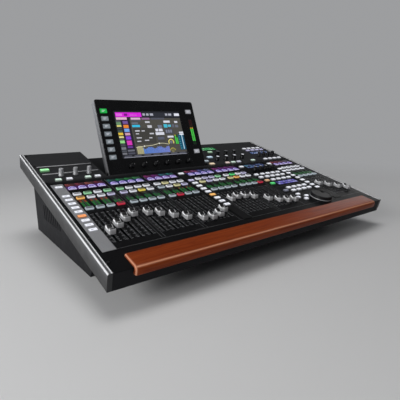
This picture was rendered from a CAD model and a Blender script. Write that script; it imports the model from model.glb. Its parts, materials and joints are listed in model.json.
import bpy, bmesh, json, math, random
from mathutils import Vector, Matrix


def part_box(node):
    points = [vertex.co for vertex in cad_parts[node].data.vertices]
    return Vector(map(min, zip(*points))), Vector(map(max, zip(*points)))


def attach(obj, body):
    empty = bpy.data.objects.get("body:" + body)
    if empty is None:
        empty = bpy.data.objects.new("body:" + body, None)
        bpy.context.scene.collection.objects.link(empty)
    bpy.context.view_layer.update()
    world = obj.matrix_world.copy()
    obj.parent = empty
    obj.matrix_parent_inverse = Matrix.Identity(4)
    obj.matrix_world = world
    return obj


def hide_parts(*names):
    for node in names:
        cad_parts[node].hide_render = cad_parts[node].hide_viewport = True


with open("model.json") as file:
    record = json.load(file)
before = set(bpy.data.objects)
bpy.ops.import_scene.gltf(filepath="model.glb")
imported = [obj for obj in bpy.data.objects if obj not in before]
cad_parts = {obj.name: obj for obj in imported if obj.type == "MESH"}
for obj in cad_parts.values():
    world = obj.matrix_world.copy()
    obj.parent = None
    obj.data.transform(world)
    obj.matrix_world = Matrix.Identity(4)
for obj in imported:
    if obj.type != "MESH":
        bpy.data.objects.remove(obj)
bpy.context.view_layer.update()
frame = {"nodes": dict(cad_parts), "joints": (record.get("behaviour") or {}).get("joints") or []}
N = frame["nodes"]
J = {j["name"]: j for j in frame["joints"]}
rnd = random.Random(7)

# ------------------------------------------------------------------ coordinates
# Deck coordinates: u across from the left cheek, v up the slope, w out of the deck, in millimetres.
TILT = math.atan2(J["fader_01_slide"]["axis"][2], J["fader_01_slide"]["axis"][1])
ct, st = math.cos(TILT), math.sin(TILT)
lo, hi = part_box("top_panel")
HALF = -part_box("left_cheek")[0].x
DECK = Matrix.Translation((-HALF, lo.y, lo.z + 0.002 * ct)) @ Matrix.Rotation(TILT, 4, "X") @ Matrix.Scale(0.001, 4)
HINGE = Vector(J["display_tilt"]["pos_m"])
DANG = math.radians(-J["display_tilt"]["range_deg"][0])
hv = (DECK.inverted() @ HINGE)
DISP = DECK @ Matrix.Translation((0, hv.y, hv.z)) @ Matrix.Rotation(DANG, 4, "X")
FACE = 9.0                                   # display face, measured out from the hinge axis
REAR_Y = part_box("rear_panel")[1].y

# ------------------------------------------------------------------ materials
def nodes_of(name):
    m = bpy.data.materials.new(name)
    m.use_nodes = True
    nt = m.node_tree
    return m, nt, nt.nodes["Principled BSDF"]

def N_(nt, kind, **kw):
    n = nt.nodes.new(kind)
    for k, v in kw.items():
        if k in n.inputs: n.inputs[k].default_value = v
        else: setattr(n, k, v)
    return n

def ramp(nt, fac, stops):
    r = nt.nodes.new("ShaderNodeValToRGB")
    e = r.color_ramp.elements
    while len(e) < len(stops): e.new(0.5)
    for k, (p, c) in enumerate(stops):
        e[k].position = p; e[k].color = (*c, 1) if len(c) == 3 else c
    nt.links.new(fac, r.inputs["Fac"])
    return r.outputs["Color"]

def bump(nt, bsdf, height, strength=0.1, distance=0.0002):
    b = nt.nodes.new("ShaderNodeBump"); b.inputs["Strength"].default_value = strength; b.inputs["Distance"].default_value = distance
    nt.links.new(height, b.inputs["Height"]); nt.links.new(b.outputs["Normal"], bsdf.inputs["Normal"])

def coords(nt, scale=(1, 1, 1), rot=(0, 0, 0)):
    t = nt.nodes.new("ShaderNodeTexCoord"); mp = nt.nodes.new("ShaderNodeMapping")
    mp.inputs["Scale"].default_value = scale; mp.inputs["Rotation"].default_value = rot
    nt.links.new(t.outputs["Object"], mp.inputs["Vector"]); return mp.outputs["Vector"]

def noise(nt, vec, scale, detail=4, rough=0.5):
    n = nt.nodes.new("ShaderNodeTexNoise"); n.inputs["Scale"].default_value = scale
    n.inputs["Detail"].default_value = detail; n.inputs["Roughness"].default_value = rough
    nt.links.new(vec, n.inputs["Vector"]); return n.outputs["Fac"]

def mixc(nt, fac, a, b, blend="MIX"):
    m = nt.nodes.new("ShaderNodeMix"); m.data_type = "RGBA"; m.blend_type = blend
    for key, val in (("Factor", fac), ("A", a), ("B", b)):
        sock = [s for s in m.inputs if s.name == key and (s.type == "RGBA" or key == "Factor" and s.type == "VALUE")][0]
        if hasattr(val, "is_linked") or hasattr(val, "links"): nt.links.new(val, sock)
        else: sock.default_value = val if isinstance(val, (int, float)) else (*val, 1)
    return [o for o in m.outputs if o.type == "RGBA"][0]

def edge_wear(nt, radius=0.0012, lo_=0.80, hi_=0.985):
    """1 on convex edges, 0 elsewhere, from the bevel shader's bent normal."""
    g = nt.nodes.new("ShaderNodeNewGeometry"); b = nt.nodes.new("ShaderNodeBevel"); b.samples = 4
    b.inputs["Radius"].default_value = radius
    d = nt.nodes.new("ShaderNodeVectorMath"); d.operation = "DOT_PRODUCT"
    nt.links.new(g.outputs["Normal"], d.inputs[0]); nt.links.new(b.outputs["Normal"], d.inputs[1])
    return ramp(nt, d.outputs["Value"], [(lo_, (1, 1, 1)), (hi_, (0, 0, 0))])

def painted(name, col, rough=0.45, grain=900, tex=0.12, var=0.12, metal=0.0, coat=0.0, big=14):
    m, nt, b = nodes_of(name)
    v = coords(nt)
    n1 = noise(nt, v, big, 3); n2 = noise(nt, v, grain, 2)
    c = ramp(nt, n1, [(0.3, tuple(x * (1 - var) for x in col)), (0.7, tuple(x * (1 + var) for x in col))])
    nt.links.new(c, b.inputs["Base Color"])
    nt.links.new(ramp(nt, n1, [(0.25, (rough * 0.9,) * 3), (0.75, (min(1, rough * 1.12),) * 3)]), b.inputs["Roughness"])
    b.inputs["Metallic"].default_value = metal
    b.inputs["Coat Weight"].default_value = coat
    bump(nt, b, n2, tex, 0.00012)
    return m

def lit(name, col, strength, base=None, rough=0.35, glow=True):
    """Backlit plastic: brighter in the middle of each key through the 'glow' attribute."""
    m, nt, b = nodes_of(name)
    bc = base or tuple(0.16 * c + 0.035 for c in col)
    n = noise(nt, coords(nt), 900, 3, 0.6)
    nt.links.new(ramp(nt, n, [(0.3, tuple(x * 0.88 for x in bc)), (0.7, tuple(x * 1.12 for x in bc))]), b.inputs["Base Color"])
    nt.links.new(ramp(nt, n, [(0.3, (rough * 0.85,) * 3), (0.7, (rough * 1.15,) * 3)]), b.inputs["Roughness"])
    b.inputs["Specular IOR Level"].default_value = 0.35
    b.inputs["Emission Color"].default_value = (*col, 1)
    if glow:
        a = nt.nodes.new("ShaderNodeAttribute"); a.attribute_name = "glow"
        mu = nt.nodes.new("ShaderNodeMath"); mu.operation = "MULTIPLY"; mu.inputs[1].default_value = strength
        nt.links.new(a.outputs["Fac"], mu.inputs[0]); nt.links.new(mu.outputs[0], b.inputs["Emission Strength"])
    else:
        b.inputs["Emission Strength"].default_value = strength
    return m

def pix(name, col, strength):
    """A patch of a lit picture: fine pixel grid under the glass."""
    m, nt, b = nodes_of(name)
    b.inputs["Base Color"].default_value = (0.01, 0.01, 0.012, 1)
    b.inputs["Roughness"].default_value = 0.4
    v = coords(nt)
    n = noise(nt, v, 320, 2)
    c = ramp(nt, n, [(0.3, tuple(x * 0.78 for x in col)), (0.7, col)])
    nt.links.new(c, b.inputs["Emission Color"])
    b.inputs["Emission Strength"].default_value = strength
    b.inputs["Specular IOR Level"].default_value = 0.12
    return m

def wood():
    """Lacquered reddish hardwood: fine straight grain, slow colour drift, paler worn crests."""
    m, nt, b = nodes_of("mahogany_lacquer")
    v = coords(nt, (1.0, 16.0, 16.0), (0.25, 0.03, 0.04))
    warp = noise(nt, coords(nt, (2.2, 9, 9)), 3.0, 3)
    add = nt.nodes.new("ShaderNodeVectorMath"); add.operation = "ADD"
    sc = nt.nodes.new("ShaderNodeVectorMath"); sc.operation = "SCALE"; sc.inputs["Scale"].default_value = 0.45
    cmb = nt.nodes.new("ShaderNodeCombineXYZ")
    for i in range(3): nt.links.new(warp, cmb.inputs[i])
    nt.links.new(cmb.outputs[0], sc.inputs[0]); nt.links.new(v, add.inputs[0]); nt.links.new(sc.outputs[0], add.inputs[1])
    fig = noise(nt, add.outputs[0], 5.0, 6, 0.62)          # broad figure along the board
    wv = nt.nodes.new("ShaderNodeTexWave"); wv.wave_type = "BANDS"; wv.bands_direction = "Y"
    wv.inputs["Scale"].default_value = 2.6; wv.inputs["Distortion"].default_value = 4.0; wv.inputs["Detail"].default_value = 3.0
    nt.links.new(add.outputs[0], wv.inputs["Vector"])
    fine = noise(nt, coords(nt, (3.0, 120.0, 120.0)), 3.0, 4, 0.6)
    pores = noise(nt, coords(nt, (7.0, 260.0, 260.0)), 3.0, 3, 0.6)
    base = ramp(nt, fig, [(0.28, (0.190, 0.0255, 0.0038)), (0.46, (0.245, 0.038, 0.0055)), (0.60, (0.285, 0.0485, 0.0072)), (0.78, (0.330, 0.062, 0.0094))])
    c1 = mixc(nt, 0.22, base, ramp(nt, wv.outputs["Color"], [(0.2, (0.182, 0.0255, 0.0038)), (0.8, (0.325, 0.063, 0.0102))]))
    c1 = mixc(nt, ramp(nt, fine, [(0.42, (0.26, 0.26, 0.26)), (0.60, (0, 0, 0))]), c1, (0.132, 0.017, 0.0034))
    c2 = mixc(nt, ramp(nt, pores, [(0.34, (0.45, 0.45, 0.45)), (0.43, (0, 0, 0))]), c1, (0.080, 0.012, 0.004))
    at = nt.nodes.new("ShaderNodeAttribute"); at.attribute_name = "glow"
    c3 = mixc(nt, at.outputs["Fac"], c2, (0.95, 0.47, 0.29))
    nt.links.new(c3, b.inputs["Base Color"])
    nt.links.new(ramp(nt, fig, [(0.3, (0.34,) * 3), (0.7, (0.44,) * 3)]), b.inputs["Roughness"])
    b.inputs["Coat Weight"].default_value = 0.06; b.inputs["Coat Roughness"].default_value = 0.22; b.inputs["Specular IOR Level"].default_value = 0.09
    bump(nt, b, pores, 0.12, 0.0002)
    return m

def cheek_mat():
    """Satin grey metal side: bright chamfer along the outer edge, bright inner lip, shade towards the bottom."""
    m, nt, b = nodes_of("cheek_satin_metal")
    n1 = noise(nt, coords(nt), 9, 3); n2 = noise(nt, coords(nt, (160, 6, 6)), 6, 3, 0.6)
    g = nt.nodes.new("ShaderNodeNewGeometry"); tc = nt.nodes.new("ShaderNodeTexCoord")
    mp = nt.nodes.new("ShaderNodeMapping"); mp.inputs["Rotation"].default_value = (-TILT, 0, 0)
    nt.links.new(tc.outputs["Object"], mp.inputs["Vector"])
    s = nt.nodes.new("ShaderNodeSeparateXYZ"); nt.links.new(mp.outputs["Vector"], s.inputs[0])
    P0 = DECK @ Vector((0, 100, 0)); w0 = P0.z * ct - P0.y * st
    mr = nt.nodes.new("ShaderNodeMapRange"); mr.inputs["From Min"].default_value = w0 - 0.036; mr.inputs["From Max"].default_value = w0 + 0.001
    nt.links.new(s.outputs["Z"], mr.inputs["Value"])
    side = ramp(nt, mr.outputs[0], [(0.0, (0.010, 0.0102, 0.011)), (0.40, (0.020, 0.0203, 0.022)), (0.70, (0.045, 0.0455, 0.048)), (0.88, (0.115, 0.117, 0.122)), (1.0, (0.40, 0.404, 0.416))])
    side = mixc(nt, ramp(nt, n1, [(0.35, (0, 0, 0)), (0.75, (0.10, 0.10, 0.10))]), side, (0.10, 0.102, 0.108))
    sn = nt.nodes.new("ShaderNodeSeparateXYZ"); nt.links.new(g.outputs["Normal"], sn.inputs[0])
    up = ramp(nt, sn.outputs["Z"], [(0.6, (0, 0, 0)), (0.8, (1, 1, 1))])
    side = mixc(nt, up, side, (0.115, 0.1165, 0.122))
    front = nt.nodes.new("ShaderNodeMath"); front.operation = "MULTIPLY"; front.inputs[1].default_value = -1.0; nt.links.new(sn.outputs["Y"], front.inputs[0])
    side = mixc(nt, ramp(nt, front.outputs[0], [(0.45, (0, 0, 0)), (0.75, (1, 1, 1))]), side, (0.022, 0.0222, 0.024))
    ax = nt.nodes.new("ShaderNodeMath"); ax.operation = "ABSOLUTE"; nt.links.new(sn.outputs["X"], ax.inputs[0])
    mn = nt.nodes.new("ShaderNodeMath"); mn.operation = "MINIMUM"
    nt.links.new(ax.outputs[0], mn.inputs[0]); nt.links.new(sn.outputs["Z"], mn.inputs[1])
    ch = ramp(nt, mn.outputs[0], [(0.12, (0, 0, 0)), (0.24, (1, 1, 1))])
    c = mixc(nt, ch, side, (0.95, 0.955, 0.97))
    # inner lip beside the groove
    xa = nt.nodes.new("ShaderNodeMath"); xa.operation = "ABSOLUTE"; nt.links.new(s.outputs["X"], xa.inputs[0])
    lip = nt.nodes.new("ShaderNodeMath"); lip.operation = "COMPARE"; lip.inputs[1].default_value = HALF - 0.0084; lip.inputs[2].default_value = 0.0008
    nt.links.new(xa.outputs[0], lip.inputs[0])
    lm = nt.nodes.new("ShaderNodeMath"); lm.operation = "MULTIPLY"; nt.links.new(lip.outputs[0], lm.inputs[0]); nt.links.new(up, lm.inputs[1])
    c = mixc(nt, lm.outputs[0], c, (0.80, 0.805, 0.82))
    nt.links.new(c, b.inputs["Base Color"]); b.inputs["Metallic"].default_value = 0.25
    nt.links.new(ramp(nt, n2, [(0.3, (0.34,) * 3), (0.7, (0.44,) * 3)]), b.inputs["Roughness"])
    bump(nt, b, n2, 0.06, 0.0001)
    return m

def deck_mat(name, col, rough, zones=None):
    """Textured charcoal paint with slight sheen, a soft tone change and wear on its edges."""
    m, nt, b = nodes_of(name)
    v = coords(nt)
    n1 = noise(nt, v, 5, 3); n2 = noise(nt, v, 1600, 2, 0.6); n3 = noise(nt, v, 60, 4, 0.6)
    c = ramp(nt, n1, [(0.3, tuple(x * 0.88 for x in col)), (0.7, tuple(x * 1.12 for x in col))])
    if zones:                                            # paler paint round the rear wing and the right-hand margin
        mp = nt.nodes.new("ShaderNodeMapping"); mp.inputs["Rotation"].default_value = (-TILT, 0, 0); tc = nt.nodes.new("ShaderNodeTexCoord")
        nt.links.new(tc.outputs["Object"], mp.inputs["Vector"])
        sx = nt.nodes.new("ShaderNodeSeparateXYZ"); nt.links.new(mp.outputs["Vector"], sx.inputs[0])
        P0 = DECK @ Vector((0, 0, 0)); y0 = P0.y * ct + P0.z * st
        fac = None
        for out, f0, f1 in (("Y", y0 + 0.364, y0 + 0.384), ("X", -HALF + 0.846, -HALF + 0.852)):
            mr = nt.nodes.new("ShaderNodeMapRange"); mr.inputs["From Min"].default_value = f0; mr.inputs["From Max"].default_value = f1
            nt.links.new(sx.outputs[out], mr.inputs["Value"])
            if fac is None: fac = mr.outputs[0]
            else:
                mx = nt.nodes.new("ShaderNodeMath"); mx.operation = "MAXIMUM"; nt.links.new(fac, mx.inputs[0]); nt.links.new(mr.outputs[0], mx.inputs[1]); fac = mx.outputs[0]
        c = mixc(nt, fac, c, zones)
    c = mixc(nt, ramp(nt, n3, [(0.52, (0, 0, 0)), (0.8, (0.10, 0.10, 0.10))]), c, tuple(min(1, x * 2.2) for x in col))
    c = mixc(nt, edge_wear(nt, 0.0006), c, tuple(min(1, x * 2.6) for x in col))
    nt.links.new(c, b.inputs["Base Color"])
    nt.links.new(ramp(nt, n3, [(0.3, (rough * 0.92,) * 3), (0.7, (rough * 1.08,) * 3)]), b.inputs["Roughness"])
    b.inputs["Specular IOR Level"].default_value = 0.07
    bump(nt, b, n2, 0.22, 0.00008)
    return m

def brushed(name, col, rough=0.3, direction=(1, 60, 60), metal=1.0):
    m, nt, b = nodes_of(name)
    n = noise(nt, coords(nt, direction), 40, 3, 0.6)
    nt.links.new(ramp(nt, n, [(0.3, tuple(x * 0.85 for x in col)), (0.7, tuple(min(1, x * 1.1) for x in col))]), b.inputs["Base Color"])
    nt.links.new(ramp(nt, n, [(0.3, (rough * 0.8,) * 3), (0.7, (rough * 1.25,) * 3)]), b.inputs["Roughness"])
    b.inputs["Metallic"].default_value = metal
    bump(nt, b, n, 0.08, 0.00005)
    return m

def gloss(name, col, rough=0.12, coat=0.6):
    """Gloss moulded plastic with faint smudges."""
    m, nt, b = nodes_of(name)
    n = noise(nt, coords(nt), 26, 5, 0.6)
    b.inputs["Base Color"].default_value = (*col, 1)
    nt.links.new(ramp(nt, n, [(0.4, (rough,) * 3), (0.75, (rough * 2.2,) * 3)]), b.inputs["Roughness"])
    b.inputs["Coat Weight"].default_value = coat; b.inputs["Coat Roughness"].default_value = 0.08
    return m

def side_mat(name, col):
    """Satin grey plastic of the display's outer edge, darker towards its front."""
    return painted(name, col, 0.42, 1200, 0.08, 0.08, 0.3)

MAT = {
    "bezel_side": side_mat("bezel_side_satin", (0.22, 0.222, 0.23)),
    "wood": wood(), "cheek": cheek_mat(),
    "deck": deck_mat("deck_charcoal_paint", (0.0042, 0.0043, 0.0049), 0.46, (0.031, 0.0315, 0.0335)),
    "well": deck_mat("recess_charcoal_paint", (0.013, 0.0134, 0.0146), 0.5),
    "tray": deck_mat("tray_black_paint", (0.016, 0.016, 0.018), 0.55),
    "rear": deck_mat("rear_black_paint", (0.020, 0.020, 0.022), 0.5),
    "rubber": painted("foot_rubber", (0.018, 0.018, 0.018), 0.8, 700, 0.4),
    "plate": brushed("layer_plate_satin", (0.30, 0.303, 0.315), 0.45, (60, 1, 60), 0.2),
    "plate_dark": painted("layer_plate_dark", (0.0062, 0.0063, 0.0069), 0.52, 1400, 0.12),
    "steel": brushed("bracket_steel", (0.55, 0.56, 0.58), 0.3),
    "zinc": brushed("zinc_plate", (0.45, 0.46, 0.47), 0.35),
    "board": painted("solder_mask", (0.015, 0.09, 0.04), 0.4, 500, 0.2),
    "bezel": gloss("bezel_gloss_black", (0.003, 0.003, 0.0035), 0.18, 0.2),
    "cover": painted("display_cover_satin", (0.20, 0.203, 0.212), 0.38, 1200, 0.1, 0.06, 0.7),
    "glass": gloss("display_glass_black", (0.008, 0.009, 0.012), 0.07, 0.8),
    "window": gloss("window_gloss_dark", (0.006, 0.005, 0.012), 0.2, 0.15),
    "socket": painted("socket_black_plastic", (0.030, 0.030, 0.032), 0.36, 800, 0.15),
    "socket_rim": painted("socket_rim_gloss", (0.032, 0.032, 0.034), 0.26, 800, 0.06),
    "screw": brushed("screw_black_oxide", (0.05, 0.05, 0.052), 0.4),
    "knob_black": painted("knob_black_satin", (0.007, 0.007, 0.008), 0.30, 1500, 0.12),
    "knob_silver": brushed("knob_turned_aluminium", (0.46, 0.465, 0.48), 0.40, (60, 60, 1), 0.35),
    "knob_grey": painted("knob_top_grey", (0.16, 0.165, 0.18), 0.4, 900, 0.08),
    "wheel": painted("wheel_black_satin", (0.0075, 0.0075, 0.0082), 0.46, 1400, 0.1),
    "cap_silver": painted("fader_cap_silver", (0.68, 0.685, 0.70), 0.36, 1300, 0.08, 0.06, 0.35),
    "cap_lip": painted("fader_cap_lip", (0.95, 0.955, 0.97), 0.30, 1300, 0.04, 0.04, 0.35),
    "cap_dark": painted("fader_cap_dish", (0.010, 0.010, 0.011), 0.42, 1300, 0.1, 0.08, 0.0),
    "print": painted("print_grey", (0.42, 0.43, 0.45), 0.5, 500, 0.02, 0.05),
    "print_dim": painted("print_dim", (0.15, 0.152, 0.158), 0.5, 500, 0.02, 0.05),
    "white": painted("marker_white", (0.75, 0.75, 0.75), 0.4, 500, 0.02, 0.03),
    "slot_dark": painted("slot_dark", (0.004, 0.004, 0.004), 0.7, 500, 0.1),
    "key_sign": painted("key_sign_grey", (0.05, 0.052, 0.07), 0.5, 500, 0.05),
    "brass": brushed("contact_gold", (0.75, 0.55, 0.22), 0.25),
}
KEYC = {
    "white": ((0.90, 0.92, 1.0), 0.66), "cool": ((0.64, 0.74, 0.82), 0.48), "lav": ((0.72, 0.70, 1.0), 0.55),
    "green": ((0.12, 0.95, 0.26), 0.55), "mint": ((0.42, 0.95, 0.52), 0.50), "amber": ((1.0, 0.52, 0.14), 0.70),
    "orange": ((1.0, 0.36, 0.12), 0.72), "red": ((0.95, 0.04, 0.10), 0.42), "yellow": ((0.95, 0.78, 0.13), 0.62),
    "pale": ((0.95, 0.90, 0.48), 0.52), "blue": ((0.35, 0.60, 1.0), 0.70), "dim": ((0.40, 0.42, 0.55), 0.30),
    "peach": ((1.0, 0.62, 0.36), 0.55), "pink": ((1.0, 0.68, 0.62), 0.60), "mintw": ((0.80, 1.0, 0.88), 0.60), "greenw": ((0.42, 1.0, 0.46), 0.75),
    "skyw": ((0.66, 0.84, 1.0), 0.66), "peachw": ((1.0, 0.80, 0.56), 0.60), "pinkw": ((1.0, 0.80, 0.75), 0.60), "lavw": ((0.82, 0.84, 1.0), 0.58), "leafw": ((0.66, 1.0, 0.70), 0.52),
    "violet": ((0.55, 0.25, 1.0), 0.6), "teal": ((0.10, 0.80, 0.75), 0.6),
}
for nm, sp in (("wheel", 0.22), ("knob_black", 0.3), ("slot_dark", 0.1)): MAT[nm].node_tree.nodes["Principled BSDF"].inputs["Specular IOR Level"].default_value = sp
MAT["plate_dark"].node_tree.nodes["Principled BSDF"].inputs["Specular IOR Level"].default_value = 0.12
for k, (c, s) in KEYC.items():
    MAT["k_" + k] = lit("key_" + k, c, s)
    MAT["r_" + k] = lit("rim_key_" + k, c, s, tuple(0.10 * x + 0.025 for x in c))
    MAT["d_" + k] = lit("display_key_" + k, c, s * 0.36, tuple(0.06 * x + 0.02 for x in c))

MAT["d_green"] = lit("display_key_green", (0.03, 0.95, 0.15), 0.30, (0.010, 0.055, 0.016)); MAT["d_green"].node_tree.nodes["Principled BSDF"].inputs["Specular IOR Level"].default_value = 0.15

def dress(node, mat, bevel=0.0, seg=2):
    o = N[node]
    o.data.materials.clear(); o.data.materials.append(MAT[mat] if isinstance(mat, str) else mat)
    if bevel:
        w = o.modifiers.new("weld", "WELD"); w.merge_threshold = 1e-6
        m = o.modifiers.new("bevel", "BEVEL"); m.width = bevel; m.segments = seg; m.limit_method = "ANGLE"
        m.angle_limit = math.radians(35); m.harden_normals = False
    return o

# ------------------------------------------------------------------ mesh building
class Build:
    """Collects closed shapes in one mesh, each face with a material index and a glow value."""
    def __init__(self, mats): self.v = []; self.f = []; self.m = []; self.g = []; self.s = []; self.mats = list(mats)
    def mi(self, name):
        if name not in self.mats: self.mats.append(name)
        return self.mats.index(name)
    def add(self, verts, faces, mat, glow=None, smooth=False):
        o = len(self.v); self.v += [tuple(p) for p in verts]
        self.g += list(glow) if glow is not None else [1.0] * len(verts)
        for f in faces: self.f.append([o + i for i in f]); self.m.append(self.mi(mat)); self.s.append(smooth)
    def rings(self, rings, mat, glow=None, smooth=True, cap0=True, cap1=True, mats=None):
        n = len(rings[0]); V = [p for r in rings for p in r]; F = []; M = []
        for k in range(len(rings) - 1):
            for i in range(n):
                j = (i + 1) % n
                F.append([k * n + i, k * n + j, (k + 1) * n + j, (k + 1) * n + i]); M.append(mats[k] if mats else mat)
        if cap0: F.append(list(range(n))[::-1]); M.append(mats[0] if mats else mat)
        if cap1: F.append([(len(rings) - 1) * n + i for i in range(n)]); M.append(mats[-1] if mats else mat)
        o = len(self.v); self.v += [tuple(p) for p in V]
        self.g += [glow[k // n] for k in range(len(V))] if glow else [1.0] * len(V)
        for f, mm in zip(F, M): self.f.append([o + i for i in f]); self.m.append(self.mi(mm)); self.s.append(smooth and len(f) == 4)
    def box(self, u0, v0, w0, u1, v1, w1, mat, glow=None):
        V = [(u0, v0, w0), (u1, v0, w0), (u1, v1, w0), (u0, v1, w0), (u0, v0, w1), (u1, v0, w1), (u1, v1, w1), (u0, v1, w1)]
        self.add(V, [(3, 2, 1, 0), (4, 5, 6, 7), (0, 1, 5, 4), (1, 2, 6, 5), (2, 3, 7, 6), (3, 0, 4, 7)], mat, glow)
    def prism(self, pts, w0, w1, mat, smooth=False):
        self.rings([[(x, y, w0) for x, y in pts], [(x, y, w1) for x, y in pts]], mat, smooth=smooth)
    def obj(self, name, M, body=None, slot=None, replaces=(), bevel=0.0, seg=2, autosmooth=True):
        me = bpy.data.meshes.new(name)
        me.from_pydata([M @ Vector(p) for p in self.v], [], self.f)
        for mm in self.mats: me.materials.append(MAT[mm] if isinstance(mm, str) else mm)
        me.polygons.foreach_set("material_index", self.m)
        me.polygons.foreach_set("use_smooth", self.s)
        a = me.attributes.new("glow", "FLOAT", "POINT"); a.data.foreach_set("value", self.g)
        me.update()
        bm = bmesh.new(); bm.from_mesh(me); bmesh.ops.recalc_face_normals(bm, faces=bm.faces); bm.to_mesh(me); bm.free()
        o = bpy.data.objects.new(name, me); bpy.context.scene.collection.objects.link(o)
        if bevel:
            b = o.modifiers.new("bevel", "BEVEL"); b.width = bevel; b.segments = seg; b.limit_method = "ANGLE"; b.angle_limit = math.radians(40)
        if body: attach(o, body)
        if replaces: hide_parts(*replaces)
        return o

def rrect(cx, cy, w, h, r, n=3):
    P = []
    for sx, sy, a0 in ((1, -1, -90), (1, 1, 0), (-1, 1, 90), (-1, -1, 180)):
        for k in range(n + 1):
            a = math.radians(a0 + 90 * k / n)
            P.append((cx + sx * (w / 2 - r) + r * math.cos(a), cy + sy * (h / 2 - r) + r * math.sin(a)))
    return P

def key(B, u, v, L, W, top, mat, base=-3.2, r=1.4, style="crown", mark=0):
    """A moulded key: straight sides, rounded top edge, slightly dished crown, a small printed sign."""
    R = []
    for inset, w in ((0, base), (0, top - 0.9), (0.16, top - 0.35), (0.55, top - 0.05), (1.1, top), (2.6, top - 0.18)):
        rr = max(0.35, r - inset * 0.5)
        R.append([(x, y, w) for x, y in rrect(u, v, L - 2 * inset, W - 2 * inset, rr)])
    B.rings(R, mat, glow=[0.12, 0.30, 0.50, 0.85, 1.25, 1.45] if style == "crown" else [0.20, 1.10, 1.45, 1.15, 0.34, 0.22])
    z0, z1 = top - 0.4, top - 0.10
    if mark == 1:
        for k in range(3): B.box(u - L * 0.22 + k * L * 0.16, v - 0.7, z0, u - L * 0.13 + k * L * 0.16, v + 0.9, z1, "key_sign")
    elif mark == 2:
        B.box(u - L * 0.24, v + 0.35, z0, u + L * 0.20, v + 0.95, z1, "key_sign"); B.box(u - L * 0.24, v - 0.95, z0, u + L * 0.06, v - 0.35, z1, "key_sign")
    elif mark == 3:
        B.prism([(u - 1.5, v - 1.3), (u + 1.5, v), (u - 1.5, v + 1.3)], z0, z1, "key_sign")

def lathe(B, cx, cy, prof, mat, n=40, mats=None, flute=None):
    """prof: list of (radius, height). flute: (ring indices, count, depth) for grip ribs."""
    R = []
    for k, (r, z) in enumerate(prof):
        ring = []
        for i in range(n):
            a = 2 * math.pi * i / n; rr = r
            if flute and k in flute[0]: rr = r - flute[2] * (0.5 - 0.5 * math.cos(flute[1] * a))
            ring.append((cx + rr * math.cos(a), cy + rr * math.sin(a), z))
        R.append(ring)
    B.rings(R, mat, mats=mats)

# ------------------------------------------------------------------ layout (deck millimetres)
PITCH = 23.8
GROUPS = [56.5, 160.0, 263.5, 396.0, 499.5, 761.0]
STRIPS = [g + i * PITCH for g in GROUPS for i in range(4)]
CUSTOM = [629.5 + i * PITCH for i in range(4)]
USER = [GROUPS[5] + i * PITCH for i in range(4)]
LAYER_U = [30.0, 367.0, 733.0]
LAYER_V = [338.0] + [288 - i * 19.1 for i in range(9)]
SEL, SOLO, MUTE = 295.0, 274.0, 221.5
KEY_H = 3.4

def at_deck(node):
    """Middle of a CAD node in deck coordinates, in millimetres."""
    a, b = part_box(node); return DECK.inverted() @ ((a + b) / 2)

# ------------------------------------------------------------------ CAD nodes that keep their shape
dress("left_cheek", "cheek", 0.0004); dress("right_cheek", "cheek", 0.0004)
dress("top_panel", "deck", 0.00018, 1)
dress("wing_tray", "tray", 0.0005); dress("base_pan", "tray", 0.0004, 1); dress("rear_panel", "rear")
dress("display_well", "well", 0.0004); dress("hinge_lugs", "screw", 0.0003)
dress("feet", "rubber"); dress("motor_fader_frames", "zinc"); dress("circuit_boards", "board")
dress("power_supply", "zinc"); dress("rear_sockets", "socket", 0.0003); dress("screws", "screw")
dress("hinge_pins", "screw"); dress("display_bezel", "bezel", 0.0009, 3); dress("display_cover", "cover", 0.0009, 3)
db = N["display_bezel"]; db.data.materials.append(MAT["bezel_side"])
DI = DISP.inverted().to_3x3().normalized()
for p in db.data.polygons:
    nn = DI @ p.normal; cc = DISP.inverted() @ p.center
    if abs(nn.z) < 0.3 and (cc.x < 180 or cc.x > 489 or cc.y < 4 or cc.y > 209): p.material_index = 1
dress("display_module", "glass"); dress("panel_windows", "window"); dress("power_rocker", "knob_black", 0.0006, 3)
dress("layer_plates", "plate_dark", 0.00025)
pl = N["layer_plates"]                                # the first column's plate is light, the others dark
pl.data.materials.append(MAT["plate"])
for p in pl.data.polygons:
    if p.center.x < -HALF + 0.06: p.material_index = 1

# ------------------------------------------------------------------ armrest
B = Build(["wood"])
a0, a1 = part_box("armrest"); A0 = DECK.inverted() @ a0
BACK, OVER, UP, DOWN = 38.0, 8.0, 5.0, 14.0
U0, U1 = (a0.x + HALF) * 1000, (a1.x + HALF) * 1000
def arm_section(grow):
    """Cross-section of the armrest, drawn in by grow."""
    P = []
    def arc(cv, cw, r, b0, b1, n):
        for k in range(n + 1):
            a = math.radians(b0 + (b1 - b0) * k / n); P.append((cv + r * math.cos(a), cw + r * math.sin(a)))
    g = grow
    P.append((BACK - g, 0.12 + g * 0.2))
    arc(BACK - 3 - g, UP - 3 - g, 3, 0, 90, 6)
    for k in range(1, 10):                              # very slightly crowned top
        x = BACK - 3 - g + (-OVER + 8 + g * 2 - BACK + 3) * k / 10; P.append((x, UP - g - 0.0))
    arc(-OVER + 8 + g, UP - 8 - g, 8, 90, 180, 12)
    arc(-OVER + 4 + g, -DOWN + 4 + g, 4, 180, 270, 8)
    P.append((-0.3 - g * 0.1, -DOWN + g)); P.append((-0.3 - g * 0.1, 0.12 + g * 0.2))
    return P
ends = [(0.0, 4.0), (0.5, 2.35), (1.2, 1.1), (2.4, 0.35), (4.0, 0.0)]
R = [[(U0 + du, v, w) for v, w in arm_section(g)] for du, g in ends]
for k in range(1, 40): R.append([(U0 + 4 + (U1 - U0 - 8) * k / 40, v, w) for v, w in arm_section(0)])
R += [[(U1 - du, v, w) for v, w in arm_section(g)] for du, g in reversed(ends)]
B.rings(R, "wood")
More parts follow.
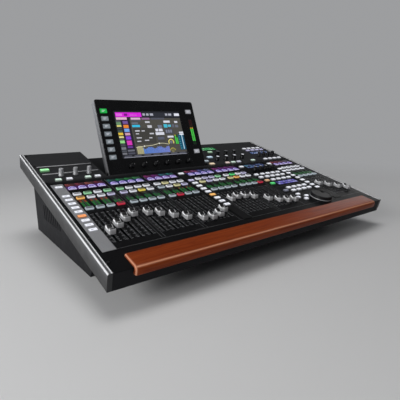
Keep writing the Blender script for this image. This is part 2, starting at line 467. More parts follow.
CREST = {19: 0.05, 20: 0.28, 21: 0.68, 22: 0.62, 23: 0.24, 24: 0.08}     # the worn line along the front crest and the end edges
ns = len(arm_section(0))
for q in range(len(B.g)):
    r_, i_ = divmod(q, ns)
    B.g[q] = max(CREST.get(i_, 0.0) if 3 < r_ < len(R) - 4 else 0.0, {1: 0.20, 2: 0.70, 3: 0.35}.get(min(r_, len(R) - 1 - r_), 0.0))
B.obj("armrest_board", DECK, "root", "armrest_wood", ["armrest"])

# ------------------------------------------------------------------ keys
SELC = {2: "mint", 4: "mint", 5: "mint", 10: "pale", 14: "lav", 15: "lav", 16: "mint", 18: "green", 20: "lav"}
SOLOC = {1: "amber", 4: "lav", 5: "lav", 7: "yellow", 9: "cool", 11: "pale", 12: "lav", 13: "pale", 14: "lav", 17: "pale", 18: "amber"}
MUTEC = {4: "red", 10: "red", 20: "red", 13: "cool", 14: "cool", 9: "cool"}
B = Build(["k_white"])
for i, u in enumerate(STRIPS):
    key(B, u, SEL, 17, 10, KEY_H, "r_" + SELC.get(i + 1, "white"), style="rim", mark=1)
    key(B, u, SOLO, 17, 10, KEY_H, "r_" + SOLOC.get(i + 1, "white"), style="rim", mark=1)
    key(B, u, MUTE, 17, 10, KEY_H, "r_" + MUTEC.get(i + 1, "cool"), style="rim", mark=1)
B.obj("strip_key_caps", DECK, "strip_keys", "key_plastic", ["strip_keys"])
B = Build(["k_white"])
for c, u in enumerate(LAYER_U):
    for r, v in enumerate(LAYER_V):
        col = "white"
        if c == 0 and r == 6: col = "orange"
        if c == 1 and r == 6: col = "amber"
        if c == 1 and r == 1: col = "lav"
        key(B, u, v, 17, 10, 3.2, "k_" + col, mark=1 + (r + c) % 2)
B.obj("layer_key_caps", DECK, "layer_keys", "key_plastic", ["layer_keys"])
B = Build(["k_white"])
FK = [(602.5, v, 16, 10, c) for v, c in ((338, "white"), (269, "white"), (248, "white"), (223, "peach"), (200, "green"), (148, "dim"))]
FK += [(u, v, 16, 10, "white") for v in (269, 248, 223, 161, 142) for u in CUSTOM]
FK += [(618, 117, 14, 9, "white"), (600, 101, 14, 9, "white"), (636, 101, 14, 9, "white"), (618, 87, 14, 9, "white")]
FK += [(u, v, 16, 10, c) for v, c in ((494, "white"), (474, "lav"), (382, "white")) for u in USER]
FK += [(552, 441, 20, 12, "skyw"), (515, 411, 15, 10, "cool"), (518, 385, 18, 11, "peachw"), (588, 486, 18, 10, "leafw"),
       (581, 382, 16, 10, "pinkw"), (606, 382, 16, 10, "mintw"), (631, 382, 16, 10, "lavw"), (698, 382, 16, 10, "mintw")]
FK += [(43, 382, 14.5, 10, "mintw"), (69, 382, 14.5, 10, "white"), (115, 382, 14.5, 10, "mintw"), (140, 382, 14.5, 10, "white"), (30, 449, 21, 11, "greenw")]
for k, (u, v, L, W, c) in enumerate(FK): key(B, u, v, L, W, KEY_H, "k_" + c, mark=3 if L == 14 else 1 + k % 2)
B.obj("function_key_caps", DECK, "function_keys", "key_plastic", ["function_keys"])
B = Build(["k_white"])
DKEYS = [(194, 43 + i * 21.4, 20, 13) for i in range(7)] + [(472, 44, 20, 13), (472, 171, 20, 13)]
for i, (u, t, L, W) in enumerate(DKEYS):
    key(B, u, t, L, W, FACE + 1.8, "d_green" if i == 6 else ("d_white" if i > 6 else "d_cool"), base=FACE - 3.6)
    # a small plain mark on each cap
for i, (u, t, L, W) in enumerate(DKEYS):
    for k in range(2): B.box(u - 5, t - 2.2 + k * 3.2, FACE + 1.6, u + (4 if k else 1), t - 1.2 + k * 3.2, FACE + 1.86, "k_white")
B.obj("display_key_caps", DISP, "display_keys", "key_plastic", ["display_keys"])

# ------------------------------------------------------------------ fader caps
CL, CW = 24.0, 14.0
def cap_mesh():
    """Moulded fader cap: silver body with bright bevelled lips and a dark finger dish."""
    B = Build(["cap_silver", "cap_dark", "cap_lip", "white", "slot_dark"])
    top = 13.4; n = 16
    prof = [(-CL / 2, 2.4), (-CL / 2 + 0.2, 3.6), (-CL / 2 + 1.1, 10.4), (-CL / 2 + 1.5, 11.8), (-CL / 2 + 2.3, 12.9), (-CL / 2 + 3.4, top)]
    for k in range(n + 1):
        x = -8.2 + 16.4 * k / n; prof.append((x, top - 3.9 * (1 - (x / 8.2) ** 2)))
    prof += [(-v, w) for v, w in reversed(prof[:6])]
    secs = [(-7.0, 2.6), (-6.86, 1.9), (-6.45, 1.1), (-5.9, 0.45), (-5.2, 0.08), (-4.9, 0.0), (4.9, 0.0), (5.2, 0.08), (5.9, 0.45), (6.45, 1.1), (6.86, 1.9), (7.0, 2.6)]
    R = []
    for x, g in secs:
        R.append([(x, v * (1 - g / 26.0), w if w < 2.5 else 2.4 + (w - 2.4) * (1 - g / 11.5)) for v, w in prof])
    B.rings(R, "cap_silver")
    npf = len(prof)
    for fi, f in enumerate(B.f):
        if len(f) != 4: continue
        sec, seg = divmod(fi, npf)
        if 4 <= seg <= npf - 6:
            B.m[fi] = B.mi("cap_dark") if 4 <= sec <= 6 else B.mi("cap_lip")
    B.box(-4.8, -0.5, 9.4, 4.8, 0.5, 9.62, "white")
    for s in (-1, 1):
        for k in range(4):
            x = s * (3.4 + k * 1.25); w = top - 3.9 * (1 - (x / 8.2) ** 2)
            B.rings([[(x_, x - 0.26, w - 0.3), (x_, x + 0.26, w - 0.3), (x_, x + 0.16, w + 0.16), (x_, x - 0.16, w + 0.16)] for x_ in (-4.7, 4.7)], "cap_dark")
    B.box(-0.6, -4, -11, 0.6, 4, 2.9, "slot_dark"); B.box(-3.4, -8, -18, 3.4, 8, -10, "slot_dark")
    return B
caps = cap_mesh().obj("cap_source", Matrix.Scale(0.001, 4))
cap_data = caps.data; bpy.data.objects.remove(caps)
cap_data.name = "fader_cap"
ROT = Matrix.Rotation(TILT, 4, "X")
for i, u in enumerate(STRIPS):
    node = f"fader_{i + 1:02d}"
    a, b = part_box(node)
    # the CAD fader's middle in deck v: its box is symmetric about the cap in deck coordinates
    c = DECK.inverted() @ Vector(((a.x + b.x) / 2, (a.y + b.y) / 2, (a.z + b.z) / 2))
    co = [DECK.inverted() @ v.co for v in N[node].data.vertices]
    v0 = (min(p.y for p in co) + max(p.y for p in co)) / 2
    o = bpy.data.objects.new(f"fader_cap_{i + 1:02d}", cap_data)
    o.matrix_world = Matrix.Translation(DECK @ Vector((u, v0, 0))) @ ROT
    bpy.context.scene.collection.objects.link(o)
    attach(o, node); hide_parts(node)

# ------------------------------------------------------------------ knobs and the jog wheel
def knob_prof(r, h, base=0.6):
    return [(2.9, base), (r - 0.2, base), (r, base + 0.3), (r, base + 1.7), (r - 0.5, base + 2.2), (r - 0.9, base + 2.6),
            (r - 1.0, h - 1.8), (r - 1.25, h - 0.9), (r - 1.8, h - 0.25), (r - 2.6, h), (r - 3.0, h - 0.15), (0.4, h - 0.25)]
def round_knob(B, u, v, r, h, body, top, mark, shaft=-6.0, mark_mat="white", flutes=20):
    p = [(0.3, shaft), (2.9, shaft)] + knob_prof(r, h)
    mats = [body] * len(p); mats = mats[:len(p) - 1]
    mats[-1] = top; mats[-2] = top
    lathe(B, u, v, p, body, 60 if flutes <= 20 else 72, mats=mats, flute=((7, 8), flutes, 0.45))
    c, s = math.cos(mark), math.sin(mark)
    q = [(-0.45, r - 2.7), (0.45, r - 2.7), (0.45, r - 0.95), (-0.45, r - 0.95)]
    B.prism([(u + x * c - y * s, v + x * s + y * c) for x, y in q], h - 0.6, h + 0.08, mark_mat)
for i in range(3):
    c = at_deck(f"monitor_knob_{i + 1}"); B = Build(["knob_silver", "slot_dark"])
    round_knob(B, [57, 92, 127][i], 407, 6.4, 20, "knob_silver", "knob_silver", 0, mark_mat="slot_dark", flutes=18)
    B.obj(f"monitor_dial_{i + 1}", DECK, f"monitor_knob_{i + 1}", "knob_silver", [f"monitor_knob_{i + 1}"])
for i in range(4):
    B = Build(["knob_silver", "slot_dark"])
    round_knob(B, USER[i], 416, 6.5, 16, "knob_black", "knob_grey", [0.4, -0.3, 0.9, -1.1][i], mark_mat="white", flutes=18)
    B.obj(f"user_dial_{i + 1}", DECK, f"user_knob_{i + 1}", "knob_black", [f"user_knob_{i + 1}"])
B = Build(["knob_black", "knob_silver", "white", "slot_dark"])
for i, u in enumerate(CUSTOM): round_knob(B, u, 303, 6.5, 14, "knob_black", "print", 0.3 * i, mark_mat="white", flutes=18)
for k, (u, v) in enumerate([(560, 411), (597, 411), (634, 411), (672, 411), (597, 456), (634, 456), (672, 456)]):
    round_knob(B, u, v, 7.5, 15, "knob_black", "k_white" if v < 430 else "knob_grey", 0.5 * k - 1.0, mark_mat="slot_dark" if v < 430 else "white", flutes=20)
B.obj("deck_encoders", DECK, "control_knobs", "knob_black", ["control_knobs"])
B = Build(["knob_black", "white"])
def disp_knob(B, u, t, r, h, mark):
    p = [(0.3, FACE - 5), (2.9, FACE - 5)] + [(a, b + FACE) for a, b in knob_prof(r, h)]
    lathe(B, u, t, p, "knob_black", 60, flute=((7, 8), 20, 0.45))
    c, s = math.cos(mark), math.sin(mark)
    q = [(-0.45, r - 2.7), (0.45, r - 2.7), (0.45, r - 0.95), (-0.45, r - 0.95)]
    B.prism([(u + x * c - y * s, t + x * s + y * c) for x, y in q], FACE + h - 0.6, FACE + h + 0.08, "white")
for k in range(6): disp_knob(B, 243 + k * 38.2, 15, 6.8, 12, 0.35 * k - 0.8)
B.obj("display_encoders", DISP, "display_knobs", "knob_black", ["display_knobs"])

B = Build(["wheel", "knob_silver"])
ju, jv, jr = 676.0, 81.0, 31.0
# finer rings across the dial face so the dimple is round
def jog(B):
    n = 96
    prof = [(0.5, -7), (3, -7), (3, 0.8), (jr - 0.3, 0.8), (jr, 1.1), (jr, 3.0), (jr - 0.35, 3.5), (jr - 0.9, 3.9), (jr - 1.0, 9.4), (jr - 1.4, 10.6),
            (jr - 2.4, 11.5), (jr - 3.8, 11.9), (jr - 5.0, 11.8), (jr - 6.0, 11.3)] + [(jr - 6.6 - k * 1.45, 10.95 - 0.015 * k) for k in range(17)]
    R = []
    for k, (r, z) in enumerate(prof):
        ring = []
        for i in range(n):
            a = 2 * math.pi * i / n; rr = r; zz = z
            if k in (7, 8): rr = r - 0.35 * (0.5 - 0.5 * math.cos(48 * a))
            x, y = rr * math.cos(a), rr * math.sin(a)
            d = math.hypot(x - 12.5, y - 8.0)
            if k > 13 and d < 8.4: zz = z - 2.6 * (0.5 + 0.5 * math.cos(math.pi * d / 8.4))
            ring.append((ju + x, jv + y, zz))
        R.append(ring)
    m = ["wheel"] * (len(prof) - 1); m[4] = m[5] = "knob_silver"
    B.rings(R, "wheel", mats=m)
jog(B)
B.obj("jog_dial", DECK, "jog_wheel", "wheel_black", ["jog_wheel"])

# ------------------------------------------------------------------ printed marks on the deck
B = Build(["print", "print_dim", "slot_dark"])
SEG = {"0": "abcdef", "1": "bc", "2": "abged", "3": "abgcd", "4": "fgbc", "5": "afgcd", "6": "afgedc"}
def digits(B, text, x, y, h, mat):
    """Scale numbers built of strokes."""
    w = h * 0.52; s = h * 0.15
    for n_, ch in enumerate(text):
        x0 = x + n_ * (w + s * 2.2)
        k0, k1, k2, k3 = s + 0.02, h / 2 - s / 2 - 0.02, h / 2 + s / 2 + 0.02, h - s - 0.02
        R_ = {"a": (0, h - s, w, h), "g": (0, h / 2 - s / 2, w, h / 2 + s / 2), "d": (0, 0, w, s), "f": (0, k2, s, k3), "b": (w - s, k2, w, k3), "e": (0, k0, s, k1), "c": (w - s, k0, w, k1)}
        for q in SEG[ch]: a, b_, c, d = R_[q]; B.box(x0 + a, y + b_, 0.02, x0 + c, y + d, 0.13, mat)
LABELS = [(195.5, "10"), (180, "5"), (163.5, "0"), (150, "5"), (136.5, "10"), (123, "20"), (110, "30"), (98, "40"), (88, "60")]
for u in STRIPS:
    for k in range(49):
        v = 84.5 + k * 2.35; big = k % 6 == 0; mid = k % 3 == 0
        L = 5.6 if big else (4.4 if mid else 3.4)
        B.box(u + 2.8, v - 0.3, 0.02, u + 2.8 + L, v + 0.3, 0.12, "print" if big else "print_dim")
        B.box(u - 2.8 - L, v - 0.3, 0.02, u - 2.8, v + 0.3, 0.12, "print" if big else "print_dim")
    for v, tx in LABELS: digits(B, tx, u - 9.6 - (1.4 if len(tx) == 1 else 2.6) + 1.8, v - 1.2, 2.3, "print_dim")
for g in GROUPS:                                             # thin frame lines between the groups of four
    for uu in (g - PITCH / 2 - 0.6, g + 3.5 * PITCH + 0.1):
        B.box(uu, 64, 0.02, uu + 0.5, 360, 0.13, "print_dim")
B.box(590, 372, 0.02, 712, 372.5, 0.13, "print_dim"); B.box(512, 366, 0.02, 855, 366.4, 0.13, "print_dim")
for x0, x1, v in ((590, 712, 283.5), (590, 712, 178), (590, 712, 132)): B.box(x0, v, 0.02, x1, v + 0.4, 0.13, "print_dim")
B.box(22, 61.6, 0.02, 850, 62.1, 0.13, "print_dim")
B.obj("deck_print", DECK, "root", "deck_paint")
# bright lips along the front and rear edges of the monitor trough
B = Build(["plate"])
for v0, v1 in ((421.5, 427.5), (471.5, 477.5)):
    R = []
    for u in (18, 19, 157, 158):
        e = 0.35 if u in (18, 158) else 0.0
        R.append([(u, v0 + e, 0.02), (u, v0 + 0.8 + e, 0.75 - e), (u, v0 + 2.0, 1.25 - e), (u, (v0 + v1) / 2, 1.4 - e), (u, v1 - 2.0, 1.25 - e), (u, v1 - 0.8 - e, 0.75 - e), (u, v1 - e, 0.02)])
    B.rings(R, "plate")
B.obj("trough_lips", DECK, "root", "plate_metal")

# ------------------------------------------------------------------ lit screens
PM = {}
def pm(c, s=1.0):
    key_ = (tuple(round(x, 3) for x in c), round(s, 2))
    if key_ not in PM:
        name = f"lit_{len(PM):02d}"; MAT[name] = pix(name, c, s); PM[key_] = name
    return PM[key_]
def hx(r, g, b):
    """Screen colour given in 0-255, as linear light."""
    return tuple(((x / 255) / 12.92 if x / 255 < 0.04045 else ((x / 255 + 0.055) / 1.055) ** 2.4) for x in (r, g, b))

W_TOP = 0.42                                             # just over the window glass
HEAD = [[(214, 96, 92), (196, 70, 96), (226, 120, 110), (176, 58, 84)], [(60, 160, 150), (50, 190, 120), (60, 200, 100), (90, 205, 120)],
        [(200, 60, 160), (190, 60, 190), (80, 170, 190), (60, 180, 170)], [(226, 90, 140), (210, 110, 200), (130, 130, 235), (170, 185, 250)],
        [(210, 60, 180), (180, 60, 200), (200, 80, 210), (170, 70, 190)], [(226, 90, 110), (210, 90, 120), (180, 120, 140), (170, 160, 175)]]
B = Build(["window"])
rs = random.Random(11)
def dome(cx, cy, rx, ry, n=18):
    return [(cx + rx * math.cos(math.pi * k / n), cy + ry * math.sin(math.pi * k / n)) for k in range(n + 1)]
BACKS = [(66, 20, 92), (20, 40, 92), (70, 18, 96), (24, 40, 110), (58, 22, 110), (60, 26, 70)]
for gi, g in enumerate(GROUPS):
    u0 = g + 1.5 * PITCH - 48; v0 = 320.0
    B.box(u0 + 1.0, v0 + 0.8, W_TOP, u0 + 95.0, v0 + 20.6, W_TOP + 0.02, pm(hx(*BACKS[gi]), 0.9))
    for k in range(4):
        c0 = u0 + 1.5 + k * 23.4; col = HEAD[gi][k]
        B.box(c0 + 0.5, v0 + 21.2, W_TOP, c0 + 22.6, v0 + 35.0, W_TOP + 0.02, pm(hx(*[x * 0.30 for x in col]), 0.9))
        for q, (wd, tone) in enumerate(((0.90, 0.62), (0.55, 0.75), (0.80, 0.62), (0.40, 0.9))):   # lines of small print
            y = v0 + 22.4 + q * 3.1; x = c0 + 1.6; end = c0 + 1.6 + 19.8 * wd
            while x < end:
                L = 1.5 + 3.4 * rs.random(); B.box(x, y, W_TOP, min(x + L, end), y + 1.5, W_TOP + 0.06, pm(hx(*[min(255, z * tone) for z in col]), 0.95)); x += L + 0.9
        # channel picture: a pale dome with a dark arch in it, over a short name
        cx, cy = c0 + 11.6, v0 + 7.2
        B.prism(dome(cx, cy, 9.4, 12.4), W_TOP, W_TOP + 0.06, pm(hx(190, 176, 246), 0.95))
        kind = (gi * 4 + k) % 3
        if kind == 0: B.prism(dome(cx, cy + 0.6, 6.6, 8.4) + dome(cx, cy + 0.6, 4.6, 6.2)[::-1], W_TOP, W_TOP + 0.09, pm(hx(70, 40, 130), 0.8))
        elif kind == 1: B.prism(dome(cx + 1.0, cy + 1.6, 6.2, 6.8) + dome(cx - 0.4, cy + 0.6, 5.0, 4.6)[::-1], W_TOP, W_TOP + 0.09, pm(hx(70, 40, 130), 0.8))
        else: B.prism(dome(cx - 0.6, cy + 2.6, 5.6, 6.0) + dome(cx - 1.4, cy + 0.6, 3.6, 4.4)[::-1], W_TOP, W_TOP + 0.09, pm(hx(70, 40, 130), 0.8))
        B.box(c0 + 2.4, v0 + 2.2, W_TOP, c0 + 20.4, v0 + 6.2, W_TOP + 0.06, pm(hx(226, 222, 255), 1.0))
        for q in range(4): B.box(c0 + 4.0 + q * 4, v0 + 3.3, W_TOP, c0 + 6.6 + q * 4, v0 + 4.5, W_TOP + 0.09, pm(hx(70, 40, 130), 0.8))
def lcd_panel(u0, v0, w, h, bg, fg, rows, cols, fill=0.75, s=0.9, seed=1, alt=None):
    r = random.Random(seed)
    B.box(u0 + 1.0, v0 + 1.0, W_TOP, u0 + w - 1.0, v0 + h - 1.0, W_TOP + 0.02, pm(hx(*bg), s * 0.9))
    cw, ch = (w - 3) / cols, (h - 3) / rows
    for i in range(cols):
        for j in range(rows):
            if r.random() > fill: continue
            a = u0 + 1.5 + i * cw; b = v0 + 1.5 + j * ch; L = cw * (0.45 + 0.45 * r.random())
            c = alt if (alt and r.random() < 0.3) else fg
            B.box(a + cw * 0.06, b + ch * 0.18, W_TOP, a + L, b + ch * 0.80, W_TOP + 0.06, pm(hx(*c), s))
lcd_panel(620.5, 324, 89.4, 28, (24, 32, 66), (104, 128, 186), 3, 8, 0.8, 0.8, 3, (96, 150, 180))
lcd_panel(620.5, 187, 89.4, 24, (50, 50, 120), (170, 170, 235), 2, 8, 0.9, 0.9, 5, (130, 120, 220))
lcd_panel(752, 438, 89.4, 22, (26, 44, 88), (112, 142, 200), 2, 8, 0.85, 0.85, 7, (176, 190, 226))
lcd_panel(575, 508, 64, 28, (26, 104, 56), (104, 210, 130), 3, 5, 0.9, 0.95, 9, (176, 230, 184))
B.obj("deck_screens", DECK, "root", "window_plastic")

# strip meters: short LED ladders in their windows
B = Build(["window"])
rs = random.Random(5)
LEVEL = [8, 9, 8, 4, 5, 4, 5, 5, 6, 5, 8, 8, 5, 4, 6, 5, 5, 6, 4, 5, 5, 4, 5, 4]
for i, u in enumerate(STRIPS):
    for side in (-1, 1):
        for k in range(12):
            v = 233.2 + k * 2.62
            on = k < LEVEL[i] * 1.2 - (1 if side > 0 and i % 3 else 0)
            if k > 9: c = hx(190, 52, 40) if (on or i < 3) else hx(48, 14, 12)
            elif k > 7: c = hx(176, 104, 40) if (on or i < 3) else hx(36, 28, 12)
            else: c = hx(44, 150, 62) if on else hx(14, 40, 24)
            B.box(u + side * 5.2 - 2.4, v, 0.32, u + side * 5.2 + 2.4, v + 1.35, 0.46, pm(c, 0.62))
    for k in range(6):                                   # lit scale between the two ladders
        v = 233.6 + k * 5.2; L = 1.0 + 1.2 * rs.random()
        B.box(u - L, v, 0.32, u + L, v + 1.7, 0.44, pm(hx(70, 120, 84), 0.7))
B.obj("strip_meter_ladders", DECK, "root", "window_plastic")

# ------------------------------------------------------------------ the display picture
B = Build(["glass"])
D0 = 8.62
L0U, L0T, LW, LH = 221.0, 37.0, 217.0, 136.0
def patch(u0, t0, u1, t1, c, s=1.0, h=0.05):
    B.box(u0, t0, D0, u1, t1, D0 + h, pm(hx(*c), s))
patch(L0U + 1.5, L0T + 1.5, L0U + LW - 1.5, L0T + LH - 1.5, (34, 35, 40), 1.0, 0.01)
patch(266, 45, 436, 151, (80, 78, 72), 1.0, 0.03)
patch(226, 155, 306, 168, (226, 40, 228), 1.0); patch(308, 155, 435, 168, (46, 48, 56), 1.0, 0.04)
for a, b in ((310, 318), (322, 330), (334, 345), (386, 394), (397, 408)): patch(a, 159, b, 165.5, (180, 182, 195))
patch(418, 158, 436, 166, (236, 238, 250))
patch(228, 158, 246, 165, (240, 112, 240), 1.0, 0.08); patch(252, 158, 262, 165, (120, 20, 130), 1.0, 0.08); patch(268, 158, 290, 162, (214, 92, 220), 1.0, 0.08)
patch(226, 147, 258, 154, (235, 190, 215)); patch(270, 147, 300, 153, (225, 190, 215)); patch(304, 147, 330, 152.5, (150, 110, 150)); patch(334, 147, 380, 152.5, (84, 86, 98))
# left column
for t0, t1, c in ((140.5, 145, (90, 95, 100)), (132, 140, (110, 150, 110)), (127, 131.5, (235, 225, 130)), (119, 125, (60, 64, 70)), (111, 117, (70, 90, 80)), (103, 110, (235, 200, 60)),
                  (95, 100, (235, 228, 150)), (89, 93.5, (90, 96, 90)), (80, 88, (150, 225, 140)), (71, 78, (70, 74, 80)), (62, 69, (120, 124, 130)), (55, 60, (80, 84, 92)), (48, 53, (120, 122, 130))):
    patch(224, t0, 237.5, t1, c)
patch(241, 64, 261, 146, (48, 26, 66), 1.0, 0.03)
for t0, t1, c in ((123, 132, (245, 140, 50)), (112, 121, (120, 175, 245)), (102, 109, (215, 165, 185)), (90, 99, (140, 70, 220)), (74, 87, (225, 60, 190)), (66, 71, (110, 60, 150)), (135, 143, (120, 90, 160))):
    patch(243.5, t0, 258.5, t1, c)
for t0, t1, c in ((48, 53, (80, 82, 96)), (56, 61, (110, 112, 124))): patch(241, t0, 262, t1, c)
# centre of the page
patch(270, 125, 294, 131.5, (60, 200, 240)); patch(270, 134, 290, 139, (110, 114, 126)); patch(270, 142, 300, 145.5, (86, 88, 100))
patch(270, 76, 338, 122, (66, 65, 61), 1.0, 0.045); patch(342, 76, 368, 122, (72, 71, 68), 1.0, 0.045)
for a, b, c_, d in ((313, 137, 328, 142), (318, 122, 332, 130), (320, 103, 334, 107), (316, 91, 326, 94), (276, 112, 290, 116), (276, 104, 286, 107), (296, 112, 306, 115), (276, 92, 292, 95), (300, 84, 314, 87), (276, 82, 288, 85)):
    patch(a, b, c_, d, (215, 216, 224), 0.9, 0.07)
patch(340, 100, 369, 108.5, (226, 228, 240), 1.0, 0.07); patch(342, 111, 366, 119, (226, 228, 240), 1.0, 0.07); patch(350.6, 111, 352.6, 119, (60, 62, 76), 1.0, 0.09)
patch(352, 121, 366, 130, (120, 124, 140), 1.0, 0.07); patch(344, 86, 366, 94, (90, 94, 110), 1.0, 0.07)
patch(373, 122, 385, 132.5, (70, 195, 220)); patch(387, 124, 398, 131, (90, 190, 215)); patch(375, 137, 397, 143.5, (226, 228, 240)); patch(413, 136, 424, 142, (226, 228, 240))
patch(402, 122, 410, 132, (96, 100, 116)); patch(413, 122, 424, 130, (110, 114, 128))
patch(378, 91, 399, 96.5, (226, 228, 240)); patch(374, 103, 400, 118, (70, 72, 86), 1.0, 0.04)
for q in range(3): patch(376 + q * 8, 106, 381.5 + q * 8, 115, (130, 134, 150), 1.0, 0.07)
def arc_band(cu, ct_, r0, r1, a0, a1, c, h=0.07, n=28):
    P = [(cu + r1 * math.cos(math.radians(a0 + (a1 - a0) * k / n)), ct_ + r1 * math.sin(math.radians(a0 + (a1 - a0) * k / n))) for k in range(n + 1)]
    P += [(cu + r0 * math.cos(math.radians(a1 + (a0 - a1) * k / n)), ct_ + r0 * math.sin(math.radians(a1 + (a0 - a1) * k / n))) for k in range(n + 1)]
    B.prism(P, D0, D0 + h, pm(hx(*c), 1.0))
arc_band(387, 77, 7.0, 10.0, -30, 210, (240, 225, 120)); arc_band(387, 77, 0.3, 4.6, 0, 359, (120, 122, 134))
arc_band(387, 49, 8.0, 11.0, 15, 165, (170, 160, 76)); arc_band(387, 50, 0.3, 5.0, 0, 359, (120, 114, 80))
patch(402, 70, 414, 100, (30, 60, 36), 1.0, 0.045)
for q in range(9): patch(403.2, 71 + q * 3.2, 407.6, 73.2 + q * 3.2, (90, 235, 90) if q < 8 else (230, 200, 60), 1.0, 0.07); patch(408.6, 71 + q * 3.2, 412.8, 73.2 + q * 3.2, (90, 235, 90) if q < 6 else (50, 90, 50), 1.0, 0.07)
patch(415.5, 52, 436, 100, (22, 84, 112), 1.0, 0.045); patch(427.5, 54, 430.5, 98, (190, 222, 240), 1.0, 0.07); patch(422, 98, 437, 108, (236, 240, 250), 1.0, 0.09)
patch(422, 102.3, 437, 103.6, (60, 64, 80), 1.0, 0.11)
for q in range(6): patch(417, 56 + q * 7, 421, 57.4 + q * 7, (90, 190, 195), 1.0, 0.07)
# spectrum bars with a cream response curve over them
rs = random.Random(21)
for q in range(42):
    u = 270 + q * 2.55
    top = 52 + (12 + 3 * math.sin(q * 0.5) + 3 * rs.random()) * (0.85 if q > 8 else 1.1)
    patch(u, 47, u + 1.9, top, (190, 185, 140) if q < 8 else (84 + q, 140, 225), 1.0, 0.055)
cur = [(268, 66), (280, 67.5), (295, 69), (308, 69.4), (320, 70), (333, 72.5), (345, 75), (358, 75), (368, 73), (378, 71)]
B.prism([(x, y + 0.55) for x, y in cur] + [(x, y - 0.55) for x, y in reversed(cur)], D0, D0 + 0.1, pm(hx(240, 236, 200), 1.0))
for x, y in ((295, 69), (345, 75)):
    B.prism([(x + 2.0 * math.cos(k * math.pi / 8), y + 2.0 * math.sin(k * math.pi / 8)) for k in range(16)], D0, D0 + 0.12, pm(hx(250, 250, 240), 1.0))
patch(226, 38.6, 434, 40.4, (150, 152, 165), 1.0, 0.06)
for q in range(7): patch(228 + q * 30, 41.5, 250 + q * 30, 45, (86, 88, 100), 1.0, 0.05)
# LED ladder on the right of the display
for q in range(22):
    t = 67 + q * 3.6
    c = (90, 240, 90) if q < 14 else ((240, 175, 60) if q < 17 else (250, 60, 40))
    on = 3 <= q < 15
    for s in (-1, 1): patch_c = c if on else tuple(x * 0.22 for x in c); B.box(472.5 + s * 3.1 - 2.2, t, 8.82, 472.5 + s * 3.1 + 2.2, t + 2.3, 8.95, pm(hx(*patch_c), 1.0))
B.obj("display_picture", DISP, "display", "screen_glass")

# ------------------------------------------------------------------ rear of the desk
XLR_X = [96 + i * 34 for i in range(8)]
REAR = Matrix.Translation((-HALF, REAR_Y - 0.002, 0)) @ Matrix(((0.001, 0, 0, 0), (0, 0, 0.001, 0), (0, 0.001, 0, 0), (0, 0, 0, 1)))   # x, z, out
rs_ = N["rear_sockets"]
for nm in ("brass", "steel"): rs_.data.materials.append(MAT[nm])
inv = REAR.inverted()
for p in rs_.data.polygons:
    q = inv @ p.center
    nrm = p.normal
    for x in XLR_X:
        dx, dz = q.x - x, q.y - 92
        if dx * dx + dz * dz < 5.4 ** 2 and -13.9 < q.z < -0.9 and not (abs(nrm.y) > 0.9 and q.z < -12.9): p.material_index = 1
        dx, dz = q.x - x, q.y - 54
        if dx * dx + dz * dz < 6.7 ** 2 and q.z > 1.9: p.material_index = 2
B = Build(["socket", "slot_dark", "screw", "steel"])
def ring_pts(x, z, r, n=20): return [(x + r * math.cos(2 * math.pi * k / n), z + r * math.sin(2 * math.pi * k / n)) for k in range(n)]
for x in XLR_X:
    for z in (136, 92):
        # raised rim round the shell and two mounting screws
        B.rings([ring_pts_ for ring_pts_ in ([(px, pz, 3.55) for px, pz in ring_pts(x, z, 11.3, 36)], [(px, pz, 4.3) for px, pz in ring_pts(x, z, 11.1, 36)],
                 [(px, pz, 4.3) for px, pz in ring_pts(x, z, 10.2, 36)], [(px, pz, 3.0) for px, pz in ring_pts(x, z, 9.6, 36)], [(px, pz, -2.0) for px, pz in ring_pts(x, z, 9.5, 36)],
                 [(px, pz, -2.0) for px, pz in ring_pts(x, z, 9.9, 36)], [(px, pz, 3.4) for px, pz in ring_pts(x, z, 10.0, 36)],
                 [(px, pz, 3.55) for px, pz in ring_pts(x, z, 11.3, 36)])], "socket_rim", cap0=False, cap1=False)
        for sx, sz in ((-9.8, 12.2), (9.8, -12.2)):
            B.rings([[(px, pz, 3.5) for px, pz in ring_pts(x + sx, z + sz, 2.3)], [(px, pz, 4.3) for px, pz in ring_pts(x + sx, z + sz, 2.2)], [(px, pz, 4.7) for px, pz in ring_pts(x + sx, z + sz, 1.5)],
                     [(px, pz, 4.7) for px, pz in ring_pts(x + sx, z + sz, 0.9, 20)], [(px, pz, 4.0) for px, pz in ring_pts(x + sx, z + sz, 0.85, 20)]], "screw")
    z = 136                                              # female inserts: three sleeves and a release tab
    for a in (90, 210, 330):
        cx, cz = x + 3.8 * math.cos(math.radians(-a)), z + 3.8 * math.sin(math.radians(-a))
        B.rings([[(px, pz, 1.9) for px, pz in ring_pts(cx, cz, 1.75)], [(px, pz, 2.12) for px, pz in ring_pts(cx, cz, 1.7)], [(px, pz, 2.12) for px, pz in ring_pts(cx, cz, 1.25)], [(px, pz, 2.04) for px, pz in ring_pts(cx, cz, 1.2)]], "slot_dark")
    B.rings([[(px, pz, w) for px, pz in rrect(x, z + 12.9 - i * 0.1, 8.4 - i * 0.8, 4.0 - i * 0.6, 1.2)] for i, w in enumerate((3.5, 5.1, 5.6))], "steel")
B.obj("rear_socket_details", REAR, "root", "socket_black")
B = Build(["print_dim", "print", "slot_dark"])
for x in XLR_X:
    for z in (115.2, 72.6): B.box(x - 1.6, z - 1.4, 2.0, x + 1.6, z + 1.4, 2.14, "print")
    B.box(x - 13.6, 74.6, 2.0, x + 13.6, 75.0, 2.1, "print_dim"); B.box(x - 13.6, 62.9, 2.0, x + 13.6, 63.3, 2.1, "print_dim")
for x0, x1, z in ((80, 352, 158), (398, 476, 144), (398, 476, 104), (404, 466, 66), (500, 600, 150), (696, 768, 100)): B.box(x0, z, 2.0, x1, z + 0.5, 2.12, "print_dim")
